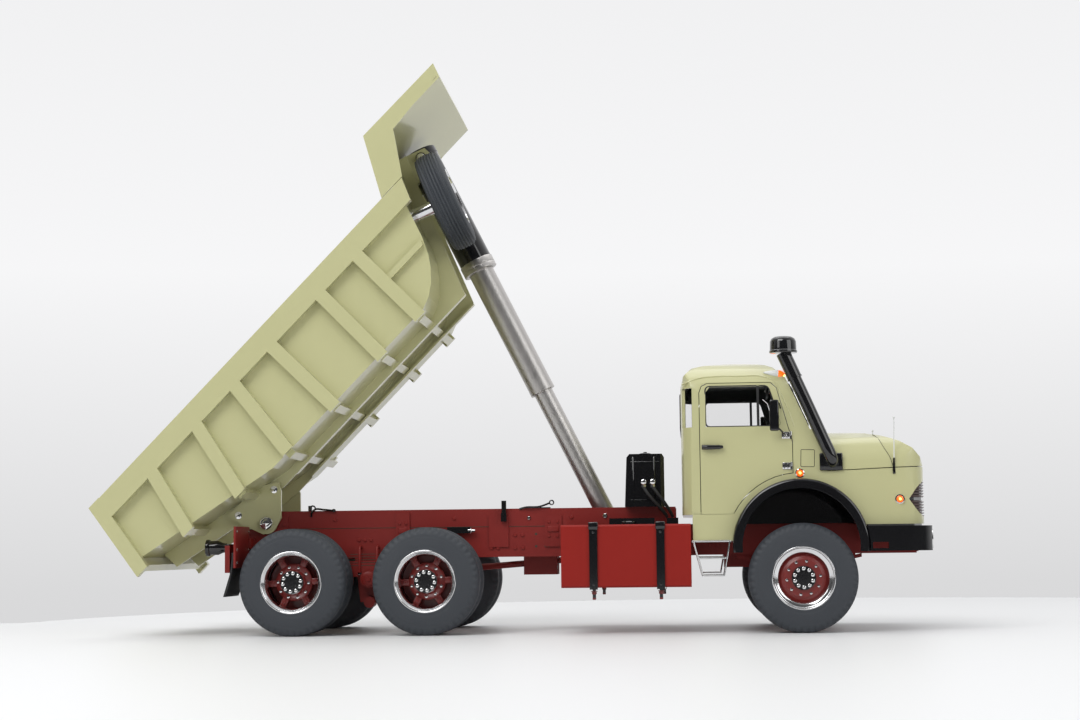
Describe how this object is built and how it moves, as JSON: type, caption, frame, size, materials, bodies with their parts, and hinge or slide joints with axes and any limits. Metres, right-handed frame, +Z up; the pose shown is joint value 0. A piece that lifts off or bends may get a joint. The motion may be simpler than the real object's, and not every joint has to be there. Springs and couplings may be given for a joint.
{
  "type": "three-axle bonneted dump truck model",
  "caption": "Bonneted three-axle tipper model with a raised ribbed steel body, telescopic hoist, hinged doors and bonnet, steering front axle and twin rear wheels.",
  "frame": {"origin": "centre of the whole's footprint box, on the ground", "axes": "+X forward, +Y to the truck's left, +Z up"},
  "size_m": [0.5838, 0.172, 0.3991],
  "materials": {
    "frame_red": "satin",
    "tank_red": "satin",
    "black_paint": "gloss",
    "hose_rubber": "matte",
    "brass": "polished",
    "body_paint": "satin",
    "window_glass": "clear",
    "interior_black": "matte",
    "lamp_glass": "clear",
    "orange_lens": "gloss",
    "chrome": "polished",
    "steel": "polished",
    "tyre": "matte",
    "polished_rim": "polished",
    "hub_red": "satin"
  },
  "bodies": {
    "chassis": {"frame": "frame_red", "front_axle": "frame_red", "rear_axles": "frame_red", "engine_and_driveline": "frame_red", "fuel_tanks": "tank_red", "straps_and_controls": "black_paint", "hydraulic_tank": "black_paint", "hoses": "hose_rubber", "hose_fittings": "brass", "cab_shell": "body_paint", "cab_glass": "window_glass", "cab_interior": "interior_black", "nose_panels": "body_paint", "grille": "interior_black", "bright_trim": "chrome", "arch_flares": "black_paint", "front_bumper": "black_paint", "headlamp_lenses": "lamp_glass", "marker_lamps": "orange_lens", "air_intake": "black_paint", "tail_lamps": "orange_lens", "mud_flaps": "hose_rubber"},
    "bonnet": {"bonnet": "body_paint"},
    "bed": {"bed_shell": "body_paint", "bed_posts": "body_paint", "bed_guard": "body_paint", "bed_runners": "body_paint", "spare_tyre": "tyre", "spare_rim": "polished_rim"},
    "hoist_barrel": {"hoist_barrel": "black_paint"},
    "hoist_stage_1": {"hoist_stage_1": "steel"},
    "hoist_stage_2": {"hoist_stage_2": "steel"},
    "tie_rod": {"tie_rod": "frame_red"},
    "door_left": {"door_left": "body_paint", "door_glass_left": "window_glass", "door_fittings_left": "black_paint"},
    "knuckle_left": {"knuckle_left": "frame_red"},
    "front_wheel_left": {"front_tyre_left": "tyre", "front_rim_left": "polished_rim", "front_hub_left": "hub_red"},
    "rear_1_wheel_left": {"rear_1_tyres_left": "tyre", "rear_1_rims_left": "polished_rim", "rear_1_hub_left": "hub_red"},
    "rear_2_wheel_left": {"rear_2_tyres_left": "tyre", "rear_2_rims_left": "polished_rim", "rear_2_hub_left": "hub_red"},
    "door_right": {"door_right": "body_paint", "door_glass_right": "window_glass", "door_fittings_right": "black_paint"},
    "knuckle_right": {"knuckle_right": "frame_red"},
    "front_wheel_right": {"front_tyre_right": "tyre", "front_rim_right": "polished_rim", "front_hub_right": "hub_red"},
    "rear_1_wheel_right": {"rear_1_tyres_right": "tyre", "rear_1_rims_right": "polished_rim", "rear_1_hub_right": "hub_red"},
    "rear_2_wheel_right": {"rear_2_tyres_right": "tyre", "rear_2_rims_right": "polished_rim", "rear_2_hub_right": "hub_red"}
  },
  "joints": [
    {"name": "bed_tip", "type": "hinge", "parent": "chassis", "child": "bed", "pos_m": [-0.17746, 0, 0.079], "axis": [0, -1, 0], "range_deg": [-46, 0]},
    {"name": "hoist_barrel_swing", "type": "hinge", "parent": "bed", "child": "hoist_barrel", "pos_m": [-0.0662, 0, 0.34537], "axis": [0, -1, 0], "range_deg": [-0.5, 8.5]},
    {"name": "hoist_stage_1_slide", "type": "slide", "parent": "hoist_barrel", "child": "hoist_stage_1", "axis": [-0.4482, 0, 0.894], "range_m": [0, 0.0985]},
    {"name": "hoist_stage_2_slide", "type": "slide", "parent": "hoist_stage_1", "child": "hoist_stage_2", "axis": [-0.4482, 0, 0.894], "range_m": [0, 0.09249]},
    {"name": "door_left", "type": "hinge", "parent": "chassis", "child": "door_left", "pos_m": [0.19574, 0.078, 0.12], "axis": [0, 0, -1], "range_deg": [0, 65]},
    {"name": "door_right", "type": "hinge", "parent": "chassis", "child": "door_right", "pos_m": [0.19574, -0.078, 0.12], "axis": [0, 0, 1], "range_deg": [0, 65]},
    {"name": "bonnet", "type": "hinge", "parent": "chassis", "child": "bonnet", "pos_m": [0.22114, 0, 0.1384], "axis": [0, -1, 0], "range_deg": [0, 50]},
    {"name": "steer_left", "type": "hinge", "parent": "chassis", "child": "knuckle_left", "pos_m": [0.20194, 0.065, 0.037], "axis": [0, 0, 1], "range_deg": [-25, 25]},
    {"name": "steer_right", "type": "hinge", "parent": "chassis", "child": "knuckle_right", "pos_m": [0.20194, -0.065, 0.037], "axis": [0, 0, 1], "range_deg": [-25, 25]},
    {"name": "tie_rod_slide", "type": "slide", "parent": "chassis", "child": "tie_rod", "axis": [0, 1, 0], "range_m": [-0.0052, 0.0052]},
    {"name": "front_spin_left", "type": "hinge", "parent": "knuckle_left", "child": "front_wheel_left", "pos_m": [0.20194, 0.075, 0.037], "axis": [0, 1, 0], "continuous": true},
    {"name": "rear_1_spin_left", "type": "hinge", "parent": "chassis", "child": "rear_1_wheel_left", "pos_m": [-0.05586, 0.0648, 0.037], "axis": [0, 1, 0], "continuous": true},
    {"name": "rear_2_spin_left", "type": "hinge", "parent": "chassis", "child": "rear_2_wheel_left", "pos_m": [-0.14896, 0.0648, 0.037], "axis": [0, 1, 0], "continuous": true},
    {"name": "front_spin_right", "type": "hinge", "parent": "knuckle_right", "child": "front_wheel_right", "pos_m": [0.20194, -0.075, 0.037], "axis": [0, 1, 0], "continuous": true},
    {"name": "rear_1_spin_right", "type": "hinge", "parent": "chassis", "child": "rear_1_wheel_right", "pos_m": [-0.05586, -0.0648, 0.037], "axis": [0, 1, 0], "continuous": true},
    {"name": "rear_2_spin_right", "type": "hinge", "parent": "chassis", "child": "rear_2_wheel_right", "pos_m": [-0.14896, -0.0648, 0.037], "axis": [0, 1, 0], "continuous": true}
  ],
  "couplings": [
    {"joint": "hoist_barrel_swing", "follows": "bed_tip", "ratio": -0.15795},
    {"joint": "hoist_stage_1_slide", "follows": "bed_tip", "m_per_rad": -0.12269},
    {"joint": "hoist_stage_2_slide", "follows": "bed_tip", "m_per_rad": -0.11495},
    {"joint": "steer_right", "follows": "steer_left", "ratio": 1},
    {"joint": "tie_rod_slide", "follows": "steer_left", "m_per_rad": -0.01162}
  ]
}
